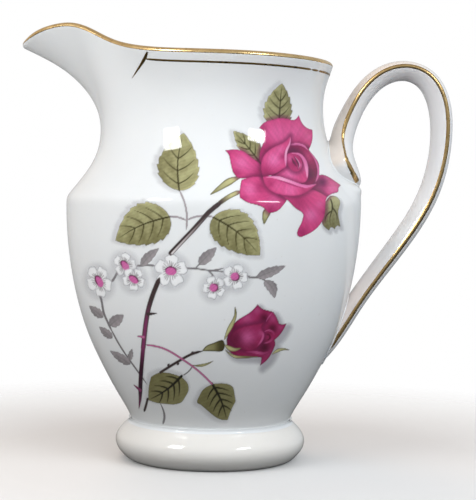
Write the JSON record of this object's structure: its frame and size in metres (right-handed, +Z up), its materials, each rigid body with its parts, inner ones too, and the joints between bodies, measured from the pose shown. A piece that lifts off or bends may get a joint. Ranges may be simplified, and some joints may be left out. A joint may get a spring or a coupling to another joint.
{
  "type": "cream jug",
  "caption": "Small porcelain cream jug with a shouldered body, beaked spout, strap handle, spread foot ring and fine gilt lines.",
  "frame": {"origin": "the middle of the bottom of the bounding box, in the plane that the foot ring stands on; the jug's turning axis stands 5.2 mm to the -X side of it", "axes": "+Z up; the spout points along -X and the handle along +X; the jug is symmetric about the plane Y = 0"},
  "size_m": [0.1066, 0.0726, 0.1064],
  "materials": {
    "glazed_porcelain": "clear glossy glaze over cool white porcelain",
    "fired_slip": "slip that joins the pieces, fired and glazed over",
    "bright_gold": "thin burnished gold line"
  },
  "bodies": {
    "root": {"jug_body": "glazed_porcelain", "foot_ring": "glazed_porcelain", "handle": "glazed_porcelain", "foot_slip_joint": "fired_slip", "upper_slip_joint": "fired_slip", "lower_slip_joint": "fired_slip", "rim_gilding": "bright_gold", "neck_gilt_line": "bright_gold", "spout_stroke_left": "bright_gold", "spout_stroke_right": "bright_gold", "handle_gilt_left": "bright_gold", "handle_gilt_right": "bright_gold"}
  },
  "joints": []
}
